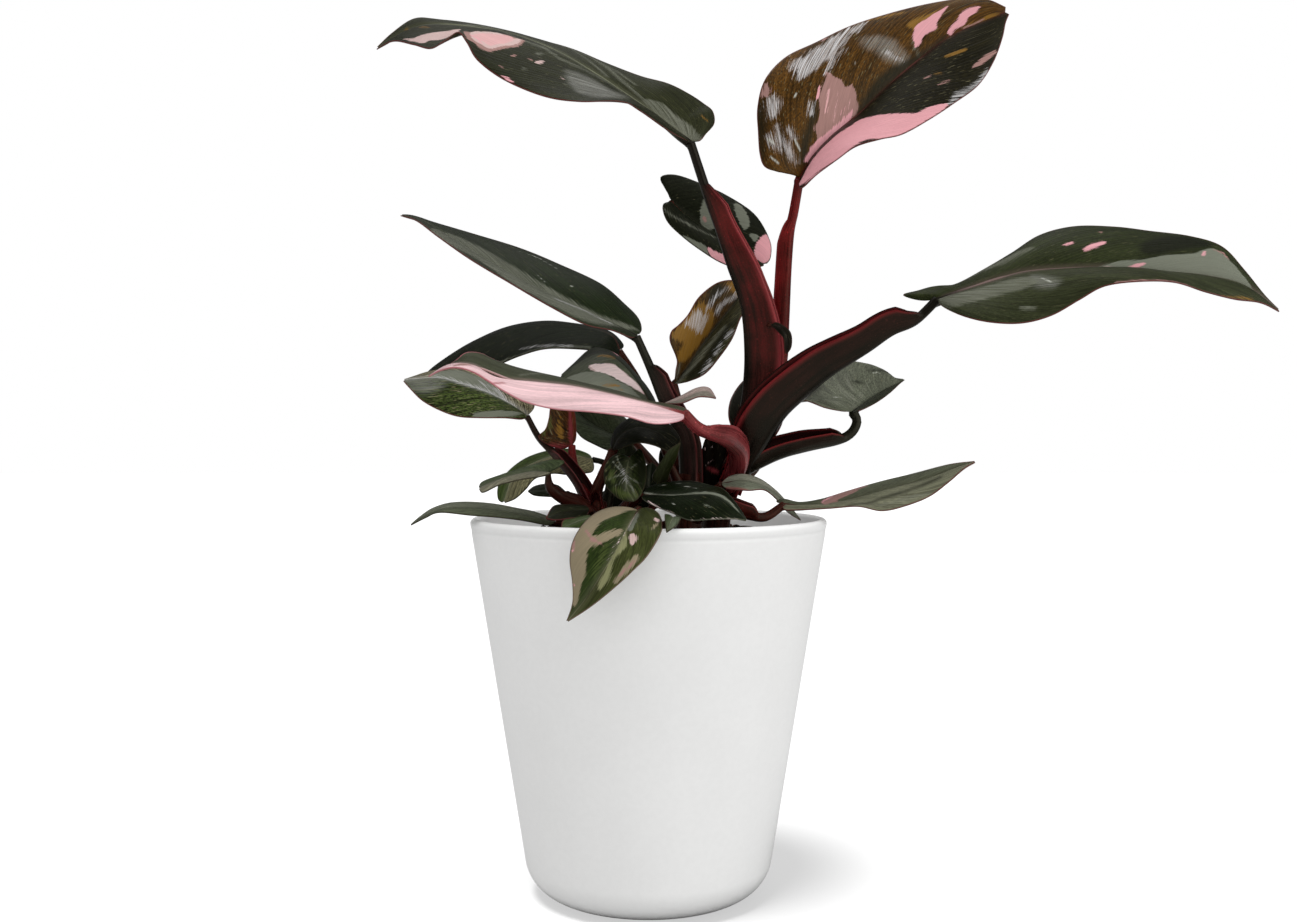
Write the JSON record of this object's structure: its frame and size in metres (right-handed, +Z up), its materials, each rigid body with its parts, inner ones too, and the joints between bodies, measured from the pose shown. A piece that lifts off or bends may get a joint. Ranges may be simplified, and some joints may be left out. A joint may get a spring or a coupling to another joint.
{
  "type": "potted philodendron",
  "caption": "Pink princess philodendron with variegated pointed leaves on sheathed petioles, growing in soil in a tapered glazed pot.",
  "frame": {"origin": "centre of the pot's foot, where it rests on the floor", "axes": "+Z up along the pot's axis, -Y towards the side the plant faces, +X to the right of someone who looks at that side"},
  "size_m": [0.3597, 0.1703, 0.3838],
  "materials": {
    "glazed_white": "satin glaze",
    "dark_soil": "loose, matt",
    "burgundy_stem": "smooth, softly shining",
    "dark_green_leaf": "glossy leaf with pink, cream and bronze markings"
  },
  "bodies": {
    "root": {"arching_blade": "dark_green_leaf", "back_blade": "dark_green_leaf", "behind_blade": "dark_green_leaf", "crinkled_blade": "dark_green_leaf", "curled_blade": "dark_green_leaf", "curled_scrap": "dark_green_leaf", "edge_blade": "dark_green_leaf", "folded_blade": "dark_green_leaf", "front_blade": "dark_green_leaf", "front_shoot": "burgundy_stem", "furled_blade": "dark_green_leaf", "golden_blade": "dark_green_leaf", "ground_blade": "dark_green_leaf", "hanging_blade": "dark_green_leaf", "hooded_blade": "dark_green_leaf", "inner_blade": "dark_green_leaf", "left_blade": "dark_green_leaf", "left_shoot": "burgundy_stem", "low_left_blade": "dark_green_leaf", "low_right_blade": "dark_green_leaf", "main_shoot": "burgundy_stem", "middle_shoot": "burgundy_stem", "pink_blade": "dark_green_leaf", "pointed_blade": "dark_green_leaf", "pot": "glazed_white", "resting_blade": "dark_green_leaf", "right_blade": "dark_green_leaf", "right_middle_blade": "dark_green_leaf", "rim_blade": "dark_green_leaf", "scale_blade": "dark_green_leaf", "shaded_blade": "dark_green_leaf", "shadow_blade": "dark_green_leaf", "small_left_blade": "dark_green_leaf", "soil": "dark_soil", "speckled_blade": "dark_green_leaf", "streaked_blade": "dark_green_leaf", "striped_blade": "dark_green_leaf", "top_left_blade": "dark_green_leaf", "top_right_blade": "dark_green_leaf", "tucked_blade": "dark_green_leaf", "upright_blade": "dark_green_leaf"}
  },
  "joints": []
}
